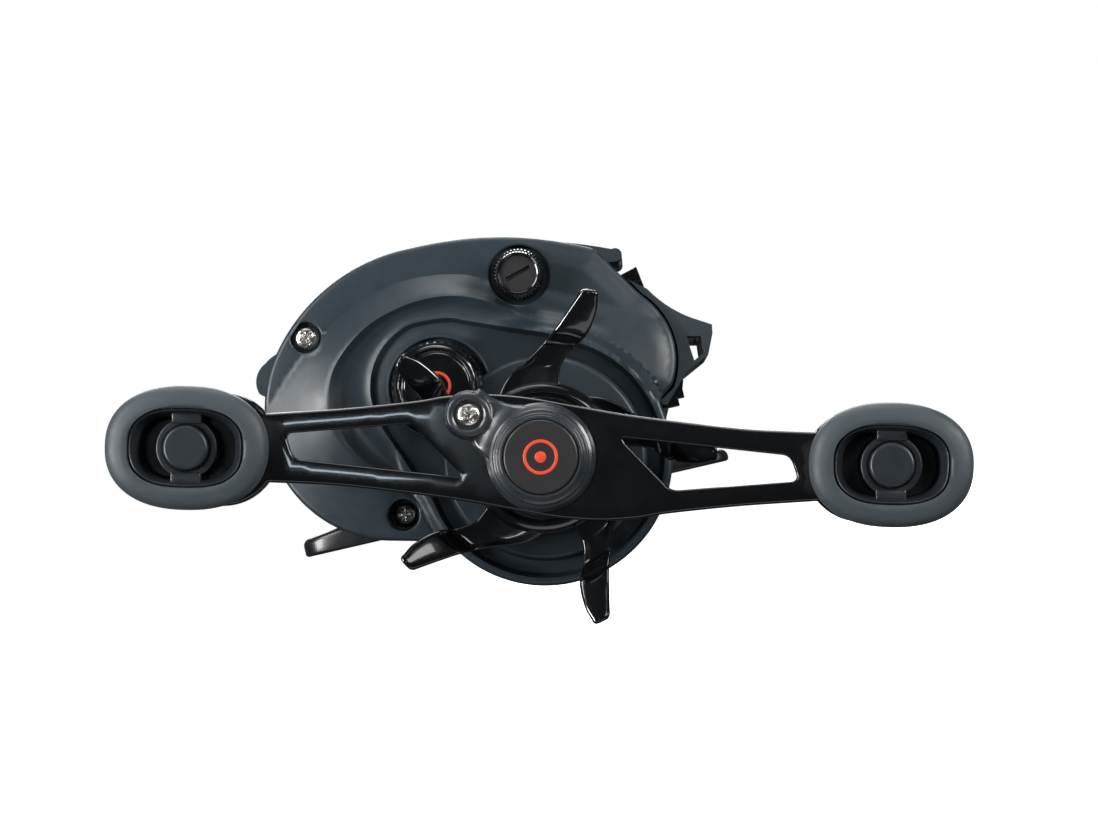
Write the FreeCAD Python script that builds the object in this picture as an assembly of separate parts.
"""A low-profile baitcasting fishing reel, right-hand retrieve, in millimetres.

+X points forward to where the line leaves, +Y to the palm side and +Z up.
The origin is the centre of the foot's flat underside.
"""
import FreeCAD
import Part
import math
import os

V = FreeCAD.Vector

# ---- axes that run across the reel, each as (x, z) ----
SPOOL = (-6.0, 18.7)
DRIVE = (6.0, 5.95)
WORM = (20.6, 14.2)
RELEASE = (8.1, 31.35)

# ---- widths, measured along Y; the handle side is negative ----
WALL_IN = 11.5
WALL_OUT = 14.0
CHEEK_OUT = 19.4
RIM_Y = -21.6
CREST_Y = -24.6
FLOOR_Y = -23.2
HOUSING_Y = -25.7
DISC_Y = -27.4
BOSS_Y = -29.8
HANDLE_Y = -41.0
PALM_Y = 23.5

# ---- handle ----
HANDLE_RADIUS = 45.0
HANDLE_ANGLE = 14.4
HANDLE_THICK = 2.6

# ---- spool ----
FLANGE_R = 15.2
ARBOR_R = 7.8

# ---- gear train: tooth counts ----
MAIN_TEETH = 63
PINION_TEETH = 10
WIND_DRIVE_TEETH = 24
IDLER_TEETH = 18
WORM_TEETH = 12
WIND_MODULE = 0.5
PRESSURE = math.radians(25)

# ---- fasteners and posts, as (x, z) or as x ----
COVER_SCREWS = [(-22.5, 29.55), (-14.6, 2.7)]
RIVETS = [-12.0, -5.0, 9.0]
GUIDE_BAR = (21.4, 26.0)

# ---- clutch: the thumb bar slides along PRESS, the yoke bar lies along BAR ----
CENTRE_DISTANCE = math.hypot(DRIVE[0] - SPOOL[0], DRIVE[1] - SPOOL[1])
PRESS = ((DRIVE[0] - SPOOL[0]) / CENTRE_DISTANCE, (DRIVE[1] - SPOOL[1]) / CENTRE_DISTANCE)
BAR = (-PRESS[1], PRESS[0])
THUMB_TRAVEL = 4.0
YOKE_TRAVEL = 1.4
POST_AT = 7.5
TANG = (-9.9, 17.4)
TANG_R = 1.3


# ---------------------------------------------------------------- helpers

def cyl(centre, radius, y0, y1):
    """A round bar along Y, from y0 to y1."""
    return Part.makeCylinder(radius, y1 - y0, V(centre[0], y0, centre[1]), V(0, 1, 0))


def ring(centre, inner, outer, y0, y1):
    """A washer or tube along Y."""
    return cyl(centre, outer, y0, y1).cut(cyl(centre, inner, y0 - 1, y1 + 1))


def cone(centre, r0, r1, y0, y1):
    """A taper along Y, of radius r0 at y0 and r1 at y1."""
    return Part.makeCone(r0, r1, y1 - y0, V(centre[0], y0, centre[1]), V(0, 1, 0))


def box(x0, x1, y0, y1, z0, z1):
    return Part.makeBox(x1 - x0, y1 - y0, z1 - z0, V(x0, y0, z0))


def wire(start, *steps):
    """A closed outline in the XZ plane. A step is a point, or a pair (through, end) for an arc."""
    here = V(start[0], 0, start[1])
    edges = []
    for step in steps + (start,):
        if isinstance(step[0], tuple):
            through = V(step[0][0], 0, step[0][1])
            end = V(step[1][0], 0, step[1][1])
            edges.append(Part.Arc(here, through, end).toShape())
        else:
            end = V(step[0], 0, step[1])
            if end.distanceToPoint(here) < 1e-6:
                continue
            edges.append(Part.makeLine(here, end))
        here = end
    return Part.Wire(edges)


def slab(outline, y0, y1):
    """An outline made solid from y0 to y1."""
    face = Part.Face(outline)
    face.translate(V(0, y0, 0))
    return face.extrude(V(0, y1 - y0, 0))


def smooth(points):
    """A closed smooth outline in the XZ plane."""
    curve = Part.BSplineCurve()
    curve.interpolate([V(x, 0, z) for x, z in points], PeriodicFlag=True)
    return Part.Wire([curve.toShape()])


def fuse(*shapes):
    return shapes[0].multiFuse(list(shapes[1:])).removeSplitter()


def cut(shape, *tools):
    return shape.cut(list(tools))


def group(*shapes):
    """Separate solids kept in one node."""
    return Part.makeCompound(list(shapes))


def spin(shape, centre, degrees):
    """Turns a shape about a Y axis, from +X towards +Z."""
    turned = shape.copy()
    turned.rotate(V(centre[0], 0, centre[1]), V(0, 1, 0), -degrees)
    return turned


def polar(centre, radius, degrees):
    angle = math.radians(degrees)
    return (centre[0] + radius * math.cos(angle), centre[1] + radius * math.sin(angle))


def along(n, s):
    """The point n along the yoke bar and s back against the press, from the spool axis."""
    return (SPOOL[0] + n * BAR[0] - s * PRESS[0], SPOOL[1] + n * BAR[1] - s * PRESS[1])


def tilted_box(n0, n1, s0, s1, y0, y1):
    """A box aligned with the yoke bar and the thumb bar's press."""
    corners = [along(n0, s0), along(n1, s0), along(n1, s1), along(n0, s1)]
    return slab(wire(*corners), y0, y1)


def stadium(centre, length, width, degrees=0.0):
    """A slot outline of that overall length and width."""
    half = (length - width) / 2
    r = width / 2
    shape = wire((half, r), ((half + r, 0), (half, -r)), (-half, -r), ((-half - r, 0), (-half, r)))
    shape.rotate(V(0, 0, 0), V(0, 1, 0), -degrees)
    shape.translate(V(centre[0], 0, centre[1]))
    return shape


def turned_on(axis, profile):
    """A (radius, y) profile turned about an axis that runs along Y."""
    points = [V(axis[0] + r, y, axis[1]) for r, y in profile]
    face = Part.Face(Part.makePolygon(points + [points[0]]))
    return face.revolve(V(axis[0], 0, axis[1]), V(0, 1, 0), 360)


def rounded(shape, radius, chosen):
    """Fillets the edges that chosen(edge) picks."""
    return shape.makeFillet(radius, [e for e in shape.Edges if chosen(e)])


def bevelled(shape, size, chosen):
    """Chamfers the edges that chosen(edge) picks."""
    return shape.makeChamfer(size, [e for e in shape.Edges if chosen(e)])


def at_y(y):
    """Picks the edges that lie in the plane of that y."""
    return lambda e: abs(e.BoundBox.YMin - y) < 1e-4 and abs(e.BoundBox.YMax - y) < 1e-4


# ---------------------------------------------------------------- gear teeth

def involute_point(base, radius):
    """The involute's polar angle at that radius."""
    if radius <= base:
        return 0.0
    t = math.sqrt((radius / base) ** 2 - 1)
    return t - math.atan(t)


def gear_wire(centre, teeth, module, first, play=0.06, addendum=0.8, dedendum=1.0):
    """A spur gear's outline. first is the polar angle, in radians, of one tooth's middle."""
    pitch_r = module * teeth / 2
    base = pitch_r * math.cos(PRESSURE)
    tip = pitch_r + addendum * module
    root = pitch_r - dedendum * module
    half = math.pi / (2 * teeth) - play / (2 * pitch_r) + involute_point(base, pitch_r)
    low = max(base, root)
    mid = (low + tip) / 2
    edges = []
    points = []

    def place(radius, angle):
        return V(centre[0] + radius * math.cos(angle), 0, centre[1] + radius * math.sin(angle))

    for k in range(teeth):
        middle = first + 2 * math.pi * k / teeth
        left = [place(r, middle - half + involute_point(base, r)) for r in (low, mid, tip)]
        right = [place(r, middle + half - involute_point(base, r)) for r in (tip, mid, low)]
        points.append((place(root, middle - half), left, right, place(root, middle + half)))
    for k in range(teeth):
        foot_in, left, right, foot_out = points[k]
        next_foot = points[(k + 1) % teeth][0]
        if root < base:
            edges.append(Part.makeLine(foot_in, left[0]))
        edges.append(Part.Arc(*left).toShape())
        edges.append(Part.makeLine(left[2], right[0]))
        edges.append(Part.Arc(*right).toShape())
        if root < base:
            edges.append(Part.makeLine(right[2], foot_out))
            edges.append(Part.makeLine(foot_out, next_foot))
        else:
            edges.append(Part.makeLine(right[2], points[(k + 1) % teeth][1][0]))
    return Part.Wire(edges)


def bearing_of(a, b):
    """The direction from axis a to axis b, in radians."""
    return math.atan2(b[1] - a[1], b[0] - a[0])


def meshed(first, teeth, other_teeth, direction):
    """Where the other gear's first tooth stands so that it meshes with a gear whose tooth stands at first."""
    step = 2 * math.pi / teeth
    offset = (first - direction) % step
    if offset > step / 2:
        offset -= step
    return direction + math.pi - offset * teeth / other_teeth + math.pi / other_teeth


def two_circles(a, ra, b, rb):
    """The lower crossing of two circles, which is where the idler gear's axis stands."""
    d = math.hypot(b[0] - a[0], b[1] - a[1])
    u = ((b[0] - a[0]) / d, (b[1] - a[1]) / d)
    t = (ra * ra - rb * rb + d * d) / (2 * d)
    h = math.sqrt(ra * ra - t * t)
    return (a[0] + t * u[0] + h * u[1], a[1] + t * u[1] - h * u[0])


MAIN_MODULE = 2 * CENTRE_DISTANCE / (MAIN_TEETH + PINION_TEETH)
MAIN_FIRST = bearing_of(DRIVE, SPOOL)
PINION_FIRST = meshed(MAIN_FIRST, MAIN_TEETH, PINION_TEETH, bearing_of(DRIVE, SPOOL))
IDLER = two_circles(
    DRIVE, WIND_MODULE * (WIND_DRIVE_TEETH + IDLER_TEETH) / 2,
    WORM, WIND_MODULE * (WORM_TEETH + IDLER_TEETH) / 2)
WIND_FIRST = bearing_of(DRIVE, IDLER)
IDLER_FIRST = meshed(WIND_FIRST, WIND_DRIVE_TEETH, IDLER_TEETH, bearing_of(DRIVE, IDLER))
WORM_FIRST = meshed(IDLER_FIRST, IDLER_TEETH, WORM_TEETH, bearing_of(IDLER, WORM))


# ---------------------------------------------------------------- shared outlines

TOP_FRONT = (19.0, 32.6)
REAR_TOP = (-27.9, 27.1)
REAR_LOW = (-29.2, 9.9)
BELLY = (-18.5, 0.0)
HOUSING_R = 17.5
NOSE_GAP = 0.3


def handle_side_outline():
    """The egg-shaped side with the round gear housing that hangs below the foot."""
    return wire(
        TOP_FRONT, (23.8, 25.0), ((26.7, 19.3), (25.2, 11.7)), (22.9, 10.3),
        (polar(DRIVE, HOUSING_R, -80), polar(DRIVE, HOUSING_R, -149)),
        (-12.0, -1.6), BELLY, ((-25.0, 3.9), REAR_LOW), ((-30.75, 17.5), REAR_TOP),
        ((-18.5, 35.5), (-5.2, 38.4)), ((8.0, 36.8), TOP_FRONT))


def palm_side_outline():
    """The palm side's plain egg shape."""
    return wire(
        TOP_FRONT, (23.8, 25.0), ((26.7, 19.3), (25.2, 11.7)), ((20.0, 3.6), (10.0, 0.4)),
        BELLY, ((-25.0, 3.9), REAR_LOW), ((-30.75, 17.5), REAR_TOP),
        ((-18.5, 35.5), (-5.2, 38.4)), ((8.0, 36.8), TOP_FRONT))


def shrunk(outline, by):
    return outline.makeOffset2D(-by)


def nose_outline():
    """The pointed front of the frame, which guards the line guide."""
    return wire(
        (19.5, 31.0), (20.9, 28.9), (24.9, 25.6), ((27.2, 22.6), (30.0, 20.3)), (32.5, 18.8),
        (32.3, 17.6), (31.1, 14.9), (27.6, 13.2), (24.0, 9.4), (16.0, 12.0))


# ---------------------------------------------------------------- frame and covers

def nose_cheek(side_outline, y0, y1):
    """The nose's thick cheek beside a cover's front edge, with a thin gap between them."""
    cheek = slab(nose_outline(), y0, y1)
    return cut(cheek, slab(shrunk(side_outline, -NOSE_GAP), y0 - 1, y1 + 1))


def thumb_slot(y0, y1):
    """The slot in a side wall that the thumb bar's tang slides in."""
    centre = along(TANG[0], TANG[1] - THUMB_TRAVEL / 2)
    angle = math.degrees(math.atan2(-PRESS[1], -PRESS[0]))
    width = 2 * TANG_R + 0.4
    return slab(stadium(centre, THUMB_TRAVEL + width, width, angle), y0, y1)


def make_frame():
    """Both side walls, the hood, the nose and the floor, cast as one piece."""
    near = slab(handle_side_outline(), -WALL_OUT, -WALL_IN)
    far = slab(palm_side_outline(), WALL_IN, WALL_OUT)
    nose_near = slab(nose_outline(), -WALL_OUT, -WALL_IN)
    nose_far = slab(nose_outline(), WALL_IN, WALL_OUT)
    cheek_near = nose_cheek(handle_side_outline(), -CHEEK_OUT, -WALL_OUT)
    cheek_far = nose_cheek(palm_side_outline(), WALL_OUT, CHEEK_OUT)
    hood = slab(wire(
        (2.5, 37.6), ((14.5, 35.0), (21.4, 32.4)), ((22.6, 31.4), (21.6, 30.6)),
        ((14.0, 32.2), (11.6, 33.2)), (2.5, 34.9)), -WALL_OUT, WALL_OUT)
    pillar = cyl(RELEASE, 2.9, -WALL_OUT, WALL_OUT)
    guard = slab(wire(
        (30.5, 18.2), ((31.4, 18.9), (32.1, 18.2)), (31.3, 15.3),
        ((30.6, 14.8), (30.2, 15.4))), -WALL_OUT, WALL_OUT)
    floor = box(-19.0, 14.0, -WALL_OUT, WALL_OUT, 1.6, 3.0)
    sill = slab(wire((12.0, 1.6), (15.5, 1.6), (18.5, 7.4), (16.9, 8.4), (12.0, 3.0)), -WALL_OUT, WALL_OUT)
    rear = slab(wire((-20.0, 1.6), (-17.0, 1.6), (-17.0, 3.0), (-24.3, 9.4), (-27.2, 9.0)), -WALL_OUT, WALL_OUT)
    rail_rear = slab(wire((-28.9, 12.0), (-26.7, 9.0), (-24.3, 9.4), (-26.4, 13.2)), -WALL_OUT, WALL_OUT)
    body = fuse(near, far, nose_near, nose_far, cheek_near, cheek_far, hood, pillar, guard, floor, sill, rear, rail_rear)
    window = slab(wire((28.7, 18.0), (30.6, 17.6), (30.4, 15.2), (29.0, 14.5)), -20, 20)
    body = cut(
        body,
        cyl(SPOOL, FLANGE_R + 0.8, WALL_IN - 1, WALL_OUT + 1),
        cyl(SPOOL, FLANGE_R + 0.6, -WALL_IN - 0.3, WALL_IN + 1),
        cyl(SPOOL, 4.4, -WALL_OUT - 1, -WALL_IN + 1),
        cyl(RELEASE, 1.5, -WALL_OUT - 1, WALL_OUT + 1),
        cyl(DRIVE, 4.0, -WALL_OUT - 1, -WALL_IN - 0.4),
        cyl(WORM, 2.6, -WALL_OUT - 1, -WALL_IN + 1),
        cyl(WORM, 2.6, WALL_IN - 1, WALL_OUT - 0.6),
        thumb_slot(-WALL_OUT - 1, -WALL_IN + 1),
        thumb_slot(WALL_IN - 1, WALL_OUT - 0.8),
        window)
    for screw in COVER_SCREWS:
        body = cut(body, cyl(screw, 1.05, -WALL_OUT - 1, -WALL_IN + 1))
    for n in (-POST_AT, POST_AT):
        body = cut(body, cyl(along(n, 0), 0.75, -WALL_OUT - 1, -WALL_IN - 0.5))
    body = cut(body, cyl(IDLER, 0.8, -WALL_OUT - 1, -WALL_IN - 0.5))
    for x in RIVETS:
        body = cut(body, Part.makeCylinder(1.2, 3.0, V(x, 0, 0.8)))
    return cut(body, cyl(GUIDE_BAR, 0.8, -WALL_IN - 1.2, WALL_IN + 1.2))


def make_foot():
    """The long foot that the rod's reel seat clamps, thin and tapered at both ends."""
    plan = Part.Face(smooth_plan([
        (-31.0, 0.0), (-29.2, 4.4), (-20.0, 6.6), (-8.0, 8.4), (6.0, 8.4), (20.0, 6.6),
        (29.2, 4.4), (31.0, 0.0), (29.2, -4.4), (20.0, -6.6), (6.0, -8.4), (-8.0, -8.4),
        (-20.0, -6.6), (-29.2, -4.4)])).extrude(V(0, 0, 6))
    profile = slab(wire(
        (-32, 0), (32, 0), (32, 1.5), (27.0, 2.3), (20.0, 3.0), (17.0, 1.5), (-20.6, 1.5),
        (-22.6, 2.5), (-25.0, 3.2), (-32, 2.3)), -10, 10)
    body = plan.common(profile)
    for x in RIVETS:
        body = cut(body, Part.makeCylinder(1.2, 4.0, V(x, 0, -1)), Part.makeCone(2.2, 1.2, 0.8, V(x, 0, 0)))
    return body


def smooth_plan(points):
    """A closed smooth outline in the XY plane."""
    curve = Part.BSplineCurve()
    curve.interpolate([V(x, y, 0) for x, y in points], PeriodicFlag=True)
    return Part.Wire([curve.toShape()])


def make_foot_rivets():
    """Countersunk rivets that hold the foot under the frame's floor."""
    made = []
    for x in RIVETS:
        stem = Part.makeCylinder(1.18, 2.2, V(x, 0, 0.4))
        head = Part.makeCone(2.1, 1.18, 0.75, V(x, 0, 0.03))
        made.append(fuse(stem, head))
    return group(*made)


def boss_outline():
    """The ridge round the cast control cap, running forward to the gear housing."""
    r = 9.3
    return wire(
        polar(SPOOL, r, 62), (polar(SPOOL, r, 180), polar(SPOOL, r, 250)),
        (2.0, 4.0), (14.5, 14.0), (14.0, 20.5))


def make_gear_side_cover():
    """The handle-side shell over the gear train, with its raised band, boss and round housing."""
    outline = handle_side_outline()
    rim = slab(outline, RIM_Y + 0.9, -WALL_OUT)
    rim = fuse(rim, taper(outline, ((0.05, RIM_Y + 0.9), (0.35, RIM_Y + 0.3), (0.9, RIM_Y))))
    band = band_solid()
    well = slab(well_outline(), CREST_Y - 1, FLOOR_Y)
    ridge = slab(boss_outline(), FLOOR_Y - 1.3, FLOOR_Y + 1)
    housing = cyl(DRIVE, HOUSING_R, HOUSING_Y, -WALL_OUT)
    housing = bevelled(housing, 0.8, at_y(HOUSING_Y))
    disc = cyl(DRIVE, 14.2, DISC_Y, HOUSING_Y + 1)
    disc = bevelled(disc, 1.2, at_y(DISC_Y))
    groove = ring(DRIVE, 14.2, 16.3, HOUSING_Y - 1, HOUSING_Y + 1.0)
    hub = cyl(DRIVE, 8.6, BOSS_Y, DISC_Y + 1)
    collar = cyl(SPOOL, 7.6, CREST_Y - 0.6, FLOOR_Y + 1)
    body = fuse(cut(fuse(rim, band), well), ridge, collar)
    body = cut(body, cyl(DRIVE, HOUSING_R, HOUSING_Y - 3, FLOOR_Y + 1.2))
    body = fuse(body, cut(housing, groove), disc, hub)
    lug = cyl(SPOOL, 5.0, -28.2, FLOOR_Y)
    recess = cyl(SPOOL, 6.75, -30, FLOOR_Y - 0.2)
    body = fuse(cut(body, recess), lug)
    room = slab(shrunk(handle_side_outline(), 1.5), -20.2, -WALL_OUT + 1)
    keep_pads = [cyl(c, 3.0, -20.5, -WALL_OUT) for c in COVER_SCREWS]
    keep_pads.append(cyl(RELEASE, 5.2, -22, -WALL_OUT))
    room = cut(room, *keep_pads)
    body = cut(
        body, room,
        cyl(DRIVE, 16.0, -24.1, -WALL_OUT + 1),
        cyl(WORM, 3.75, -17.6, -WALL_OUT + 1),
        cyl(DRIVE, 7.0, -28.6, -20),
        cyl(DRIVE, 5.0, BOSS_Y - 1, -28),
        cyl(SPOOL, 3.6, -29, -19),
        cyl(RELEASE, 4.2, -28, -17.4),
        cyl(RELEASE, 1.5, -28, -13))
    for c in COVER_SCREWS:
        body = cut(body, cyl(c, 1.05, -28, -10), cyl(c, 2.1, -28, -19.6))
    for n in (-POST_AT, POST_AT):
        body = cut(body, cyl(along(n, 0), 0.8, -20.9, -19))
    return body


def band_solid():
    """The sloped band that rises from the flat rim to a crest."""
    low = wire(
        (14.5, 24.5), (3.0, 31.5), ((-9.5, 34.3), (-19.6, 30.2)), ((-28.2, 20.0), (-25.4, 10.5)),
        ((-21.0, 4.6), (-12.5, 2.6)), (2.0, -2.0), (16.0, 12.0), (22.0, 18.0))
    high = wire(
        (12.2, 23.6), (2.6, 29.2), ((-9.0, 31.2), (-16.6, 27.6)), ((-22.3, 19.0), (-19.6, 11.0)),
        ((-17.0, 6.8), (-10.5, 4.6)), (2.0, 0.0), (14.0, 11.0), (18.0, 16.0))
    low.translate(V(0, RIM_Y + 0.1, 0))
    high.translate(V(0, CREST_Y, 0))
    return Part.makeLoft([low, high], True, True)


def well_outline():
    """The sunk floor inside the crest."""
    return wire(
        (12.6, 22.6), (2.3, 28.3), ((-8.8, 30.2), (-15.9, 26.9)), ((-21.2, 19.0), (-18.8, 11.4)),
        ((-16.4, 7.6), (-9.8, 5.6)), (2.0, 1.0), (14.0, 12.0))


def make_palm_side_cover():
    """The smooth shell over the brake, which slides off to change the spool."""
    outline = palm_side_outline()
    levels = ((0.05, 18.0), (0.5, 19.6), (1.3, 21.2), (2.6, 22.5), (4.4, PALM_Y))
    body = fuse(slab(outline, WALL_OUT + 0.05, 18.0), taper(outline, levels))
    body = cut(
        body,
        cyl(SPOOL, 15.0, WALL_OUT - 1, 19.6),
        cyl(SPOOL, DIAL_R + 0.3, 20.8, 30),
        cyl(SPOOL, 1.3, 19, 22),
        cyl(RELEASE, 1.5, WALL_OUT - 1, 19.0))
    hub = ring(SPOOL, 3.0, 4.6, 15.0, 20.0)
    return fuse(body, hub)


def taper(outline, levels):
    """A solid through insets of one outline, given as (inset, y)."""
    sections = []
    for inset, y in levels:
        section = shrunk(outline, inset)
        section.translate(V(0, y, 0))
        sections.append(section)
    return Part.makeLoft(sections, True, True)


# ---------------------------------------------------------------- screws that hold the shell

def cross_recess(centre, y_face, size, depth):
    """The cross that a screwdriver fits, cut inwards from the head's outer face."""
    x, z = centre
    bar = box(x - size, x + size, y_face - 0.1, y_face + depth, z - 0.22, z + 0.22)
    return fuse(bar, spin(bar, centre, 90))


def pan_screw(centre, y_face, head_r, head_h, shank_r, y_tip):
    """A cross-head screw driven along +Y, its head's outer face at y_face."""
    head = cyl(centre, head_r, y_face, y_face + head_h)
    head = rounded(head, head_h * 0.55, at_y(y_face))
    shank = cyl(centre, shank_r, y_face + head_h, y_tip)
    return cut(fuse(head, shank), cross_recess(centre, y_face, head_r * 0.62, head_h * 0.6))


def make_cover_screws():
    return group(*[pan_screw(c, -21.2, 1.75, 1.5, 1.0, -12.0) for c in COVER_SCREWS])


def make_release_screw():
    """The coin-slot screw that runs right through the hood's pillar into the palm cover."""
    head = cyl(RELEASE, 3.4, -25.4, -18.6)
    head = bevelled(head, 0.4, at_y(-25.4))
    top = cyl(RELEASE, 2.7, -26.2, -25.0)
    body = fuse(head, top, cyl(RELEASE, 1.42, -18.8, 18.6))
    grooves = []
    for k in range(30):
        grooves.append(cyl(polar(RELEASE, 3.5, k * 12), 0.2, -24.8, -19))
    x, z = RELEASE
    slot = spin(box(x - 4, x + 4, -27, -25.5, z - 0.5, z + 0.5), RELEASE, 16)
    return cut(body, slot, *grooves)


def make_release_clip():
    """The split ring that keeps the release screw in the cover."""
    body = ring(RELEASE, 1.46, 2.6, -18.2, -17.5)
    x, z = RELEASE
    return cut(body, box(x - 0.5, x + 0.5, -19, -17, z, z + 4))


# ---------------------------------------------------------------- drive shaft and drag

def make_drive_shaft():
    """The stepped shaft that the handle turns."""
    body = fuse(
        cyl(DRIVE, 2.0, -14.7, -12.0),
        cyl(DRIVE, 2.5, -40.9, -14.6),
        cyl(DRIVE, 6.0, -18.8, -17.7),
        cyl(DRIVE, 2.2, -46.3, -43.6))
    x, z = DRIVE
    square = spin(box(x - 1.7, x + 1.7, -43.65, -40.8, z - 1.7, z + 1.7), DRIVE, -HANDLE_ANGLE)
    return fuse(body, square)


def make_drive_bearing():
    return ring(DRIVE, 2.05, 4.0, -WALL_OUT, -11.95)


def make_wind_drive_gear():
    """The small gear on the drive shaft that turns the line guide's worm."""
    body = slab(gear_wire(DRIVE, WIND_DRIVE_TEETH, WIND_MODULE, WIND_FIRST), -16.5, -14.9)
    return cut(body, cyl(DRIVE, 2.55, -17, -14))


def make_kick_ratchet():
    """The toothed wheel on the drive shaft that throws the clutch back in."""
    points = []
    for k in range(12):
        points.append(polar(DRIVE, 7.6, k * 30))
        points.append(polar(DRIVE, 6.2, k * 30 + 6))
    return cut(slab(wire(*points), -17.5, -16.7), cyl(DRIVE, 2.55, -18, -16))


def make_main_gear():
    """The large gear, cupped to hold the drag washers."""
    body = slab(gear_wire(DRIVE, MAIN_TEETH, MAIN_MODULE, MAIN_FIRST), -22.6, -19.0)
    holes = [cyl(polar(DRIVE, 8.2, 60 * k), 1.5, -21, -18) for k in range(6)]
    return cut(body, cyl(DRIVE, 12.4, -23, -20.0), cyl(DRIVE, 2.6, -23, -18), *holes)


def make_drag_fibres():
    """The drag stack's fibre washers."""
    return group(*[ring(DRIVE, 2.8, 12.1, y - 0.45, y) for y in (-20.05, -21.05, -22.05)])


def make_drag_plates():
    """The drag stack's steel washers."""
    return group(*[ring(DRIVE, 2.7, 12.0, y - 0.45, y) for y in (-20.55, -21.55)])


def make_drag_sleeve():
    """The flanged tube that presses the stack and runs in the one-way bearing."""
    return ring(DRIVE, 2.6, 4.0, -30.2, -22.6).fuse(ring(DRIVE, 2.6, 6.4, -23.3, -22.6)).removeSplitter()


def make_one_way_bearing():
    body = ring(DRIVE, 4.05, 7.0, -28.4, -24.4)
    pockets = [cyl(polar(DRIVE, 5.4, 45 * k), 0.6, -29, -24) for k in range(8)]
    return cut(body, *pockets)


def make_drag_springs():
    """Two dished spring washers, back to back."""
    made = []
    for y0, r0, r1 in ((-30.75, 4.3, 3.6), (-31.3, 3.6, 4.3)):
        made.append(cone(DRIVE, r0, r1, y0, y0 + 0.5).cut(cyl(DRIVE, 2.6, -32, -30)))
    return group(*made)


def make_star_nut():
    """The threaded nut that the star turns to load the drag."""
    body = ring(DRIVE, 2.55, 4.6, -34.0, -31.4)
    x, z = DRIVE
    return cut(body, box(x - 5, x + 5, -35, -31, z + 4.1, z + 5), box(x - 5, x + 5, -35, -31, z - 5, z - 4.1))


STAR_ANGLE = 60.5
ARM_EDGE = [
    (9.6, 1.0), (12.2, 6.0), (14.9, 2.0), (17.5, -3.2), (20.7, -3.8), (22.9, -2.6), (23.5, 0.6),
    (22.7, 4.0), (19.5, 7.6), (17.0, 12.0), (14.0, 22.0), (11.6, 42.0), (9.6, 56.0)]


def star_arm(angle):
    """One swept arm's outline from its hub, as a prism."""
    points = [polar(DRIVE, r, angle + a) for r, a in ARM_EDGE]
    curve = Part.BSplineCurve()
    curve.interpolate([V(x, 0, z) for x, z in points])
    outline = Part.Wire([curve.toShape(), Part.makeLine(V(points[-1][0], 0, points[-1][1]), V(points[0][0], 0, points[0][1]))])
    return slab(outline, -40, -30)


def make_drag_star():
    """The five-armed wheel that sets the drag; its arms sweep outwards at the tips."""
    x = DRIVE[0]
    profile = [
        (8.0, -31.8), (13.2, -31.8), (16.5, -32.7), (24.5, -35.4), (24.5, -38.2), (19.0, -36.4),
        (15.0, -34.9), (12.4, -34.3), (8.0, -34.3)]
    dish = turned_on(DRIVE, profile)
    arms = [star_arm(STAR_ANGLE + 72 * k).common(dish) for k in range(5)]
    hub = turned_on(DRIVE, [
        (4.7, -31.8), (8.95, -31.8), (8.95, -28.2), (10.2, -28.2), (10.2, -33.8), (9.7, -34.6),
        (8.9, -34.9), (8.5, -34.5), (7.6, -34.5), (7.2, -35.6), (6.4, -35.9), (4.7, -35.9)])
    return fuse(hub, *arms)


def make_handle_spacer():
    return ring(DRIVE, 2.55, 4.2, -40.9, -34.2)


# ---------------------------------------------------------------- handle

def on_handle(x, z):
    """A point given along and across the handle, in the reel's frame."""
    a = math.radians(-HANDLE_ANGLE)
    return (
        DRIVE[0] + x * math.cos(a) - z * math.sin(a),
        DRIVE[1] + x * math.sin(a) + z * math.cos(a))


ARM_SIDE = [
    (-36.0, -4.2), (-27.0, -4.4), (-17.7, -5.2), (-10.5, -6.0), (-4.0, -7.0), (2.0, -7.9), (7.6, -8.2),
    (12.7, -7.8), (17.0, -7.0), (26.5, -5.8), (36.5, -4.9)]
OPENING = [(-34.0, 2.3), (-17.2, 4.0), (-10.2, -2.9), (-32.8, -1.0)]
EAR = (-9.7, 5.3)
KNOBS = [on_handle(-HANDLE_RADIUS, 0), on_handle(HANDLE_RADIUS, 0)]


def rounded_polygon(corners, radius):
    """A polygon outline with its corners rounded."""
    count = len(corners)
    steps = []
    for k in range(count):
        here = V(corners[k][0], 0, corners[k][1])
        before = V(corners[k - 1][0], 0, corners[k - 1][1]) - here
        after = V(corners[(k + 1) % count][0], 0, corners[(k + 1) % count][1]) - here
        before.normalize()
        after.normalize()
        half = before.getAngle(after) / 2
        reach = radius / math.tan(half)
        inward = before + after
        inward.normalize()
        middle = here + inward * (radius / math.sin(half) - radius)
        p = here + before * reach
        q = here + after * reach
        steps.append(((p.x, p.z), ((middle.x, middle.z), (q.x, q.z))))
    path = []
    for k, (p, arc) in enumerate(steps):
        if k:
            path.append(p)
        path.append(arc)
    return wire(steps[0][0], *path)


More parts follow.
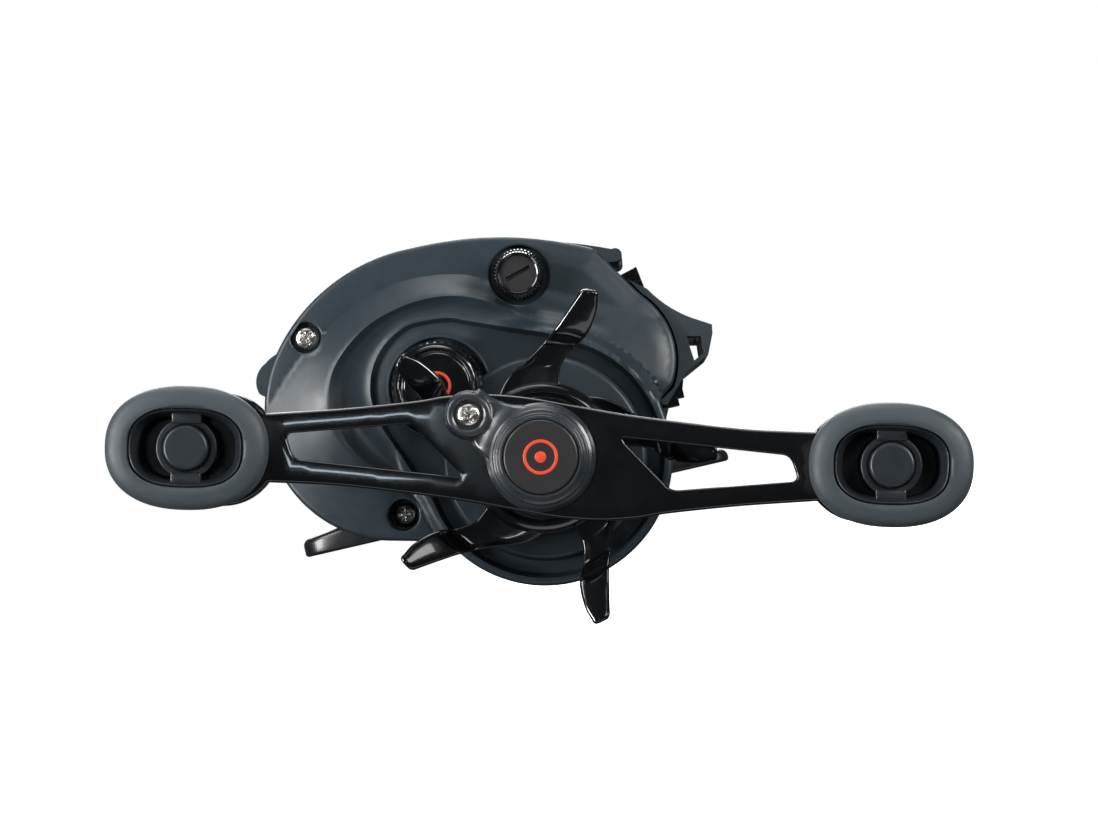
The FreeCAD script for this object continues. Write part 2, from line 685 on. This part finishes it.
def make_handle_arm():
    """The flat two-ended arm with a long opening on each side."""
    lower = Part.BSplineCurve()
    lower.interpolate([V(x, 0, z) for x, z in ARM_SIDE])
    upper = Part.BSplineCurve()
    upper.interpolate([V(-x, 0, -z) for x, z in ARM_SIDE])
    first, last = ARM_SIDE[0], ARM_SIDE[-1]
    end = HANDLE_RADIUS + 4.7
    right = Part.Arc(V(last[0], 0, last[1]), V(end, 0, 0), V(-first[0], 0, -first[1])).toShape()
    left = Part.Arc(V(-last[0], 0, -last[1]), V(-end, 0, 0), V(first[0], 0, first[1])).toShape()
    outline = Part.Wire([lower.toShape(), right, upper.toShape(), left])
    body = slab(outline, HANDLE_Y - HANDLE_THICK, HANDLE_Y)
    body = bevelled(body, 0.35, at_y(HANDLE_Y - HANDLE_THICK))
    mirrored = [(-x, -z) for x, z in OPENING]
    body = cut(
        body,
        slab(rounded_polygon(OPENING, 0.8), HANDLE_Y - 5, HANDLE_Y + 1),
        slab(rounded_polygon(mirrored, 0.8), HANDLE_Y - 5, HANDLE_Y + 1),
        box(-1.73, 1.73, HANDLE_Y - 5, HANDLE_Y + 1, -1.73, 1.73),
        cyl((-HANDLE_RADIUS, 0), 1.6, HANDLE_Y - 5, HANDLE_Y + 1),
        cyl((HANDLE_RADIUS, 0), 1.6, HANDLE_Y - 5, HANDLE_Y + 1))
    body = fuse(body, ear_pad())
    body = cut(body, cyl(EAR, 0.95, HANDLE_Y - 5, HANDLE_Y - 0.8))
    body.rotate(V(0, 0, 0), V(0, 1, 0), HANDLE_ANGLE)
    body.translate(V(DRIVE[0], 0, DRIVE[1]))
    return body


def ear_pad():
    """The lobe of the arm under the retainer's screw."""
    return cyl(EAR, 3.2, HANDLE_Y - HANDLE_THICK, HANDLE_Y)


ARM_FACE = HANDLE_Y - HANDLE_THICK


def make_handle_nut():
    """The hexagonal nut that clamps the arm on the shaft."""
    corners = [polar(DRIVE, 5.2, 60 * k - HANDLE_ANGLE) for k in range(6)]
    return cut(slab(wire(*corners), ARM_FACE - 2.6, ARM_FACE - 0.1), cyl(DRIVE, 2.22, ARM_FACE - 4, ARM_FACE))


def make_nut_retainer():
    """The round cap over the nut, with an ear that is screwed to the arm."""
    ear = on_handle(*EAR)
    body = cyl(DRIVE, 7.2, ARM_FACE - 3.6, ARM_FACE - 0.05)
    body = rounded(body, 1.1, at_y(ARM_FACE - 3.6))
    body = fuse(body, ring(DRIVE, 5.0, 5.6, ARM_FACE - 3.9, ARM_FACE - 3.4))
    lug = cyl(ear, 3.3, ARM_FACE - 1.9, ARM_FACE - 0.05)
    neck = slab(
        wire(on_handle(-10.6, 8.4), on_handle(-1.9, 7.0), on_handle(-6.6, -1.8), on_handle(-11.8, 2.8)),
        ARM_FACE - 1.7, ARM_FACE - 0.05)
    body = fuse(body, lug, neck)
    return cut(
        body,
        cyl(DRIVE, 5.5, ARM_FACE - 3.0, ARM_FACE + 1),
        cyl(ear, 2.0, ARM_FACE - 5, ARM_FACE - 1.1),
        cyl(ear, 0.95, ARM_FACE - 5, ARM_FACE + 1))


def make_retainer_screw():
    return pan_screw(on_handle(*EAR), ARM_FACE - 2.1, 1.8, 0.95, 0.9, ARM_FACE + 1.4)


def make_cap_inlay():
    """The thin round plate set in the retainer's face."""
    return rounded(cyl(DRIVE, 4.9, ARM_FACE - 4.2, ARM_FACE - 3.62), 0.3, at_y(ARM_FACE - 4.2))


# ---------------------------------------------------------------- handle knobs

KNOB_IN = ARM_FACE - 0.8
KNOB_OUT = ARM_FACE - 18.0
POST_R = 2.0


def make_knob_posts():
    """The two fixed posts that the knobs turn on, riveted through the arm."""
    made = []
    for knob in KNOBS:
        made.append(fuse(
            cyl(knob, 1.58, ARM_FACE - 1, HANDLE_Y + 0.3),
            cyl(knob, 2.6, ARM_FACE - 0.7, ARM_FACE - 0.02),
            cyl(knob, POST_R, KNOB_OUT + 2.6, ARM_FACE - 0.5)))
    return group(*made)


def make_knob_bushes():
    """Two plain bushes on each post, for the knob to turn on."""
    made = []
    for knob in KNOBS:
        for y in (KNOB_IN - 2.2, KNOB_OUT + 3.2):
            made.append(ring(knob, POST_R, 3.05, y, y + 2.0))
    return group(*made)


def make_knob_grip(knob):
    """An oval rubber knob with a sunk outer face round its post."""
    sections = []
    for y, length, width in (
            (KNOB_IN, 15.6, 11.4), (KNOB_IN - 3.6, 19.6, 14.6), (KNOB_IN - 9.0, 20.0, 15.2),
            (KNOB_OUT + 1.6, 21.0, 15.9), (KNOB_OUT, 19.0, 13.9)):
        section = oval(knob, length, width)
        section.translate(V(0, y, 0))
        sections.append(section)
    body = Part.makeLoft(sections, True, False)
    well = slab(stadium(knob, 14.2, 9.6, -HANDLE_ANGLE), KNOB_OUT - 1, KNOB_OUT + 4.0)
    post = cyl(knob, 4.0, KNOB_OUT + 0.9, KNOB_OUT + 5)
    bridge = spin(box(knob[0] - 1.9, knob[0] + 1.9, KNOB_OUT + 1.3, KNOB_OUT + 4.5, knob[1] - 5.5, knob[1] + 5.5), knob, -HANDLE_ANGLE)
    body = fuse(cut(body, well), post, bridge)
    return cut(
        body,
        cyl(knob, 3.1, KNOB_OUT + 2.5, KNOB_IN + 1),
        cyl(knob, 2.95, KNOB_OUT - 1, KNOB_OUT + 3))


def oval(centre, length, width):
    """An oval outline laid along the handle."""
    points = []
    for k in range(8):
        a = math.radians(45 * k)
        swell = 1.0 if k % 2 == 0 else 1.08
        points.append((length / 2 * math.cos(a) * swell, width / 2 * math.sin(a) * swell))
    shape = smooth(points)
    shape.rotate(V(0, 0, 0), V(0, 1, 0), HANDLE_ANGLE)
    shape.translate(V(centre[0], 0, centre[1]))
    return shape


def make_knob_cap(knob):
    """The plug that closes the knob's outer end."""
    return rounded(cyl(knob, 2.9, KNOB_OUT + 0.2, KNOB_OUT + 2.3), 0.5, at_y(KNOB_OUT + 0.2))


# ---------------------------------------------------------------- spool

def make_spool():
    """The line spool: a perforated arbor with a thin flange pressed on each end."""
    arbor = turned_on(SPOOL, [
        (1.55, -10.3), (4.2, -10.3), (4.2, -9.6), (ARBOR_R, -9.98), (ARBOR_R, 8.53), (7.2, 8.2),
        (7.2, -3.0), (3.4, -4.2), (3.4, 3.0), (1.55, 3.0)])
    gear_side = turned_on(SPOOL, [
        (ARBOR_R, -9.98), (14.6, -10.7), (FLANGE_R, -10.4), (FLANGE_R, -9.9), (13.0, -9.3),
        (8.6, -8.4), (ARBOR_R, -7.4)])
    palm_side = turned_on(SPOOL, [
        (ARBOR_R, 7.4), (8.6, 8.4), (13.0, 9.3), (FLANGE_R, 9.9), (FLANGE_R, 10.4), (14.6, 10.7),
        (9.2, 10.2), (9.2, 9.3), (ARBOR_R, 8.53)])
    keep = cyl(SPOOL, 5.0, -12, 12)
    holes = []
    for k in range(10):
        for y in (-0.5, 4.5):
            a = math.radians(36 * k + (18 if y > 0 else 0))
            hole = Part.makeCylinder(1.2, 10, V(SPOOL[0], y, SPOOL[1]), V(math.cos(a), 0, math.sin(a)))
            holes.append(hole.cut(keep))
    return group(cut(arbor, *holes), gear_side, palm_side)


def make_spool_shaft():
    body = fuse(cyl(SPOOL, 1.5, -11.6, 18.4), cyl(SPOOL, 1.2, -28.7, -11.5))
    return body.cut(spool_pin_rod(0.51, 8.0))


def make_spool_pin():
    """The cross pin that the pinion's slot catches."""
    return spool_pin_rod(0.5, 6.0)


def spool_pin_rod(radius, length):
    return Part.makeCylinder(radius, length, V(SPOOL[0] - length / 2, -14.75, SPOOL[1]), V(1, 0, 0))


def make_inductor():
    """The thin ring on the spool that the brake's magnets drag on."""
    return ring(SPOOL, 8.3, 9.1, 9.35, 14.0)


def make_gear_side_bearing():
    """The ball bearing under the cast control cap."""
    return ring(SPOOL, 1.25, 3.6, -28.0, -26.1)


def make_palm_bearing():
    return ring(SPOOL, 1.55, 3.0, 15.2, 17.4)


# ---------------------------------------------------------------- pinion and clutch

def make_pinion():
    """The long pinion, with a collar each side of the yoke's groove and a slot for the spool's pin."""
    teeth = slab(gear_wire(SPOOL, PINION_TEETH, MAIN_MODULE, PINION_FIRST), -22.9, -16.8)
    body = fuse(
        teeth, cyl(SPOOL, 3.6, -15.35, -14.2), cyl(SPOOL, 2.2, -16.3, -15.3),
        cyl(SPOOL, 3.6, -16.85, -16.25), cyl(SPOOL, 1.8, -24.0, -22.8))
    x, z = SPOOL
    return cut(body, cyl(SPOOL, 1.25, -25, -14), box(x - 5, x + 5, -15.33, -14, z - 0.6, z + 0.6))


def make_clutch_yoke():
    """The forked bar that lifts the pinion off the spool's pin."""
    bar = tilted_box(-9.2, 9.2, -1.7, 1.7, -16.15, -15.45)
    eye = cyl(SPOOL, 4.6, -16.15, -15.45)
    mouth = tilted_box(-2.45, 2.45, -6, 0, -17, -15)
    holes = [cyl(along(n, 0), 0.76, -17, -15) for n in (-POST_AT, POST_AT)]
    return cut(fuse(bar, eye), cyl(SPOOL, 2.45, -17, -15), mouth, *holes)


def make_yoke_posts():
    return group(*[cyl(along(n, 0), 0.7, -20.8, -12.1) for n in (-POST_AT, POST_AT)])


def make_yoke_springs():
    """Coil springs on the posts that press the yoke home."""
    made = []
    for n in (-POST_AT, POST_AT):
        at = along(n, 0)
        y0 = -19.9
        helix = Part.makeHelix(0.88, 3.5, 1.2)
        profile = Part.Wire([Part.makeCircle(0.2, V(1.2, 0, 0), V(0, 1, 0))])
        coil = Part.Wire(helix.Edges).makePipeShell([profile], True, True)
        coil.rotate(V(0, 0, 0), V(1, 0, 0), -90)
        coil.translate(V(at[0], y0, at[1]))
        made.append(coil)
    return group(*made)


def make_clutch_plate():
    """The plate that the thumb bar pushes; its two ramps lift the yoke."""
    top = -14.65
    body = fuse(
        tilted_box(-9.8, 9.8, -5.2, 9.6, top, -14.15),
        tilted_box(-11.7, -8.1, 9.0, TANG[1], top, -14.15),
        cyl(along(*TANG), 1.8, top, -14.15))
    slots = [tilted_box(-3.9, 3.9, -3.9, 3.9 + THUMB_TRAVEL, -16, -14)]
    for n in (-POST_AT, POST_AT):
        slots.append(tilted_box(n - 1.0, n + 1.0, -1.0, 1.0 + THUMB_TRAVEL, -16, -14))
    slots.append(cyl(along(*TANG), TANG_R + 0.02, -16, -14))
    body = cut(body, *slots)
    ramps = [ramp(-6.0, -4.4), ramp(4.4, 6.0)]
    return fuse(body, *ramps)


def ramp(n0, n1):
    """A wedge along the press that rises by the yoke's travel."""
    start = 1.85
    low = -15.3
    high = low - YOKE_TRAVEL + 0.1
    side = [
        (start, -14.6), (start, low), (start + THUMB_TRAVEL, high), (start + THUMB_TRAVEL + 0.8, high),
        (start + THUMB_TRAVEL + 0.8, -14.6)]
    points = []
    for s, y in side:
        x, z = along(n0, s)
        points.append(V(x, y, z))
    face = Part.Face(Part.makePolygon(points + [points[0]]))
    return face.extrude(V(BAR[0] * (n1 - n0), 0, BAR[1] * (n1 - n0)))


def make_thumb_bar():
    """The bar behind the spool that frees it when pressed, with a tang through each wall."""
    pad = slab(wire(
        (-31.4, 23.9), ((-31.2, 26.4), (-29.6, 27.9)), ((-26.8, 29.0), (-24.4, 28.6)), (-23.6, 26.9),
        (-24.3, 23.4), (-26.6, 22.4), ((-29.3, 22.6), (-31.4, 23.9))), -11.2, 11.2)
    return fuse(pad, cyl(along(*TANG), TANG_R, -15.0, 12.9))


# ---------------------------------------------------------------- line guide

GUIDE_HALF = 3.5
TUBE_R = 3.1


def make_worm_shaft():
    """The worm with crossing grooves that carries the line guide to and fro."""
    body = fuse(cyl(WORM, 2.2, -10.8, 10.8), cyl(WORM, 1.4, -17.0, 13.0))
    cuts = []
    for k in range(7):
        for lean in (-22, 22):
            groove = ring((0, 0), 1.75, 3.5, -0.45, 0.45)
            groove.rotate(V(0, 0, 0), V(1, 0, 0), lean)
            groove.translate(V(WORM[0], -8.4 + 2.8 * k, WORM[1]))
            cuts.append(groove)
    return cut(body, *cuts)


def make_worm_gear():
    """The gear on the worm's end."""
    return cut(
        slab(gear_wire(WORM, WORM_TEETH, WIND_MODULE, WORM_FIRST), -16.5, -14.9),
        cyl(WORM, 1.42, -17, -14))


def make_worm_bushes():
    return group(ring(WORM, 1.45, 2.6, -WALL_OUT, -WALL_IN), ring(WORM, 1.45, 2.6, WALL_IN, 13.35))


def make_worm_tube():
    """The fixed tube round the worm, slotted below for the pawl."""
    body = ring(WORM, 2.5, TUBE_R, -11.45, 11.45)
    x, z = WORM
    return cut(body, box(x - 1.3, x + 1.3, -8.9, 8.9, z - 4, z))


def make_line_guide():
    """The carriage that lays the line, riding on the worm's tube and the guide bar."""
    side = wire(
        (19.9, 28.6), (24.3, 29.8), (24.9, 25.6), ((25.6, 20.5), (27.2, 14.6)), (27.2, 12.6),
        (26.8, 11.4), (26.8, 10.2), (25.9, 10.2), (25.9, 9.2), (17.6, 9.2), (16.4, 11.4),
        (16.4, 16.4), ((18.6, 19.4), (18.9, 23.0)))
    body = slab(side, -GUIDE_HALF, GUIDE_HALF)
    body = cut(
        body,
        cyl(WORM, TUBE_R + 0.06, -5, 5),
        cyl(GUIDE_BAR, 0.81, -5, 5),
        Part.makeCylinder(2.6, 20, V(12, 0, 22.4), V(1, 0, 0)),
        Part.makeCylinder(1.05, 4, V(WORM[0], 0, 8), V(0, 0, 1)),
        Part.makeCylinder(1.95, 2, V(WORM[0], 0, 8), V(0, 0, 1)))
    ribs = []
    for k in range(5):
        for y in (-GUIDE_HALF - 0.1, GUIDE_HALF - 0.3):
            rib = box(19.0, 24.6, y, y + 0.4, 24.6 + 0.8 * k, 24.9 + 0.8 * k)
            ribs.append(rib)
    return cut(body, *ribs)


def make_guide_insert():
    """The smooth ceramic ring that the line runs through."""
    body = Part.makeCylinder(2.55, 6.6, V(18.9, 0, 22.4), V(1, 0, 0))
    body = body.cut(Part.makeCylinder(1.3, 8, V(18, 0, 22.4), V(1, 0, 0)))
    flare = Part.makeCone(1.3, 2.2, 1.2, V(24.3, 0, 22.4), V(1, 0, 0))
    back = Part.makeCone(2.2, 1.3, 1.2, V(18.9, 0, 22.4), V(1, 0, 0))
    return cut(body, flare, back, cyl(GUIDE_BAR, 0.9, -5, 5))


def make_pawl():
    """The pin that follows the worm's grooves."""
    return Part.makeCylinder(1.0, 1.85, V(WORM[0], 0, 10.05), V(0, 0, 1))


def make_pawl_cap():
    return cut(
        Part.makeCylinder(1.9, 1.25, V(WORM[0], 0, 8.7), V(0, 0, 1)),
        box(WORM[0] - 2, WORM[0] + 2, -0.25, 0.25, 8.5, 9.1))


def make_guide_bar():
    return cyl(GUIDE_BAR, 0.75, -12.6, 12.6)


def make_idler_gear():
    return cut(
        slab(gear_wire(IDLER, IDLER_TEETH, WIND_MODULE, IDLER_FIRST), -16.5, -14.9),
        cyl(IDLER, 0.8, -17, -14))


def make_idler_post():
    return fuse(cyl(IDLER, 0.74, -17.1, -12.1), cyl(IDLER, 1.4, -17.3, -16.7))


# ---------------------------------------------------------------- cast control and brake

def make_cast_cap():
    """The knurled cap that loads the spool's shaft end."""
    body = fuse(cyl(SPOOL, 6.2, -28.6, -24.6), cone(SPOOL, 4.9, 6.2, -29.9, -28.6))
    body = fuse(body, ring(SPOOL, 3.0, 3.9, -30.3, -29.5), cyl(SPOOL, 1.7, -30.2, -29.8))
    grooves = [cyl(polar(SPOOL, 6.3, k * 10), 0.22, -28.4, -24) for k in range(36)]
    return cut(body, cyl(SPOOL, 5.06, -29.2, -24), *grooves)


def make_cast_shim():
    """The thin friction disc between the cap and the spool's shaft."""
    return cyl(SPOOL, 2.4, -29.15, -28.8)


DIAL_R = 6.9


def make_brake_dial():
    """The dial on the palm cover that sets the magnetic brake."""
    body = cyl(SPOOL, DIAL_R, 20.9, 24.2)
    body = bevelled(body, 0.5, at_y(24.2))
    x, z = SPOOL
    grip = box(x - 1.1, x + 1.1, 24, 25.1, z - 5.2, z + 5.2)
    scallops = [cyl(polar(SPOOL, DIAL_R + 0.4, k * 24), 0.7, 22.5, 25) for k in range(15)]
    return cut(fuse(body, grip, cyl(SPOOL, 1.2, 19.4, 21.0)), *scallops)


def make_magnet_plate():
    """The plate that carries the magnets towards the spool."""
    body = ring(SPOOL, 4.7, 12.4, 17.2, 18.2)
    seats = [cyl(polar(SPOOL, 10.4, 45 * k), 1.55, 16.9, 17.7) for k in range(8)]
    return cut(body, *seats)


def make_magnets():
    return group(*[cyl(polar(SPOOL, 10.4, 45 * k), 1.5, 15.2, 17.65) for k in range(8)])


# ---------------------------------------------------------------- every node

NODES = {
    "frame": make_frame,
    "reel_foot": make_foot,
    "foot_rivets": make_foot_rivets,
    "gear_side_cover": make_gear_side_cover,
    "cover_screws": make_cover_screws,
    "palm_side_cover": make_palm_side_cover,
    "palm_bearing": make_palm_bearing,
    "release_screw": make_release_screw,
    "release_clip": make_release_clip,
    "drive_shaft": make_drive_shaft,
    "drive_bearing": make_drive_bearing,
    "wind_drive_gear": make_wind_drive_gear,
    "kick_ratchet": make_kick_ratchet,
    "main_gear": make_main_gear,
    "drag_fibre_washers": make_drag_fibres,
    "drag_steel_washers": make_drag_plates,
    "drag_sleeve": make_drag_sleeve,
    "one_way_bearing": make_one_way_bearing,
    "drag_spring_washers": make_drag_springs,
    "star_nut": make_star_nut,
    "drag_star": make_drag_star,
    "handle_spacer": make_handle_spacer,
    "handle_arm": make_handle_arm,
    "handle_nut": make_handle_nut,
    "nut_retainer": make_nut_retainer,
    "retainer_screw": make_retainer_screw,
    "cap_inlay": make_cap_inlay,
    "knob_posts": make_knob_posts,
    "knob_bushes": make_knob_bushes,
    "knob_grip_rear": lambda: make_knob_grip(KNOBS[0]),
    "knob_grip_front": lambda: make_knob_grip(KNOBS[1]),
    "knob_cap_rear": lambda: make_knob_cap(KNOBS[0]),
    "knob_cap_front": lambda: make_knob_cap(KNOBS[1]),
    "spool": make_spool,
    "spool_shaft": make_spool_shaft,
    "spool_pin": make_spool_pin,
    "brake_inductor": make_inductor,
    "gear_side_bearing": make_gear_side_bearing,
    "pinion": make_pinion,
    "clutch_yoke": make_clutch_yoke,
    "yoke_posts": make_yoke_posts,
    "yoke_springs": make_yoke_springs,
    "clutch_plate": make_clutch_plate,
    "thumb_bar": make_thumb_bar,
    "worm_shaft": make_worm_shaft,
    "worm_gear": make_worm_gear,
    "worm_bushes": make_worm_bushes,
    "worm_tube": make_worm_tube,
    "line_guide": make_line_guide,
    "guide_insert": make_guide_insert,
    "guide_pawl": make_pawl,
    "pawl_cap": make_pawl_cap,
    "guide_bar": make_guide_bar,
    "idler_gear": make_idler_gear,
    "idler_post": make_idler_post,
    "cast_control_cap": make_cast_cap,
    "cast_shim": make_cast_shim,
    "brake_dial": make_brake_dial,
    "magnet_plate": make_magnet_plate,
    "brake_magnets": make_magnets,
}

os.makedirs("parts", exist_ok=True)
for name, make in NODES.items():
    shape = make()
    shape.exportStep("parts/" + name + ".step")
    print(name, len(shape.Solids), round(shape.Volume, 2), shape.isValid())
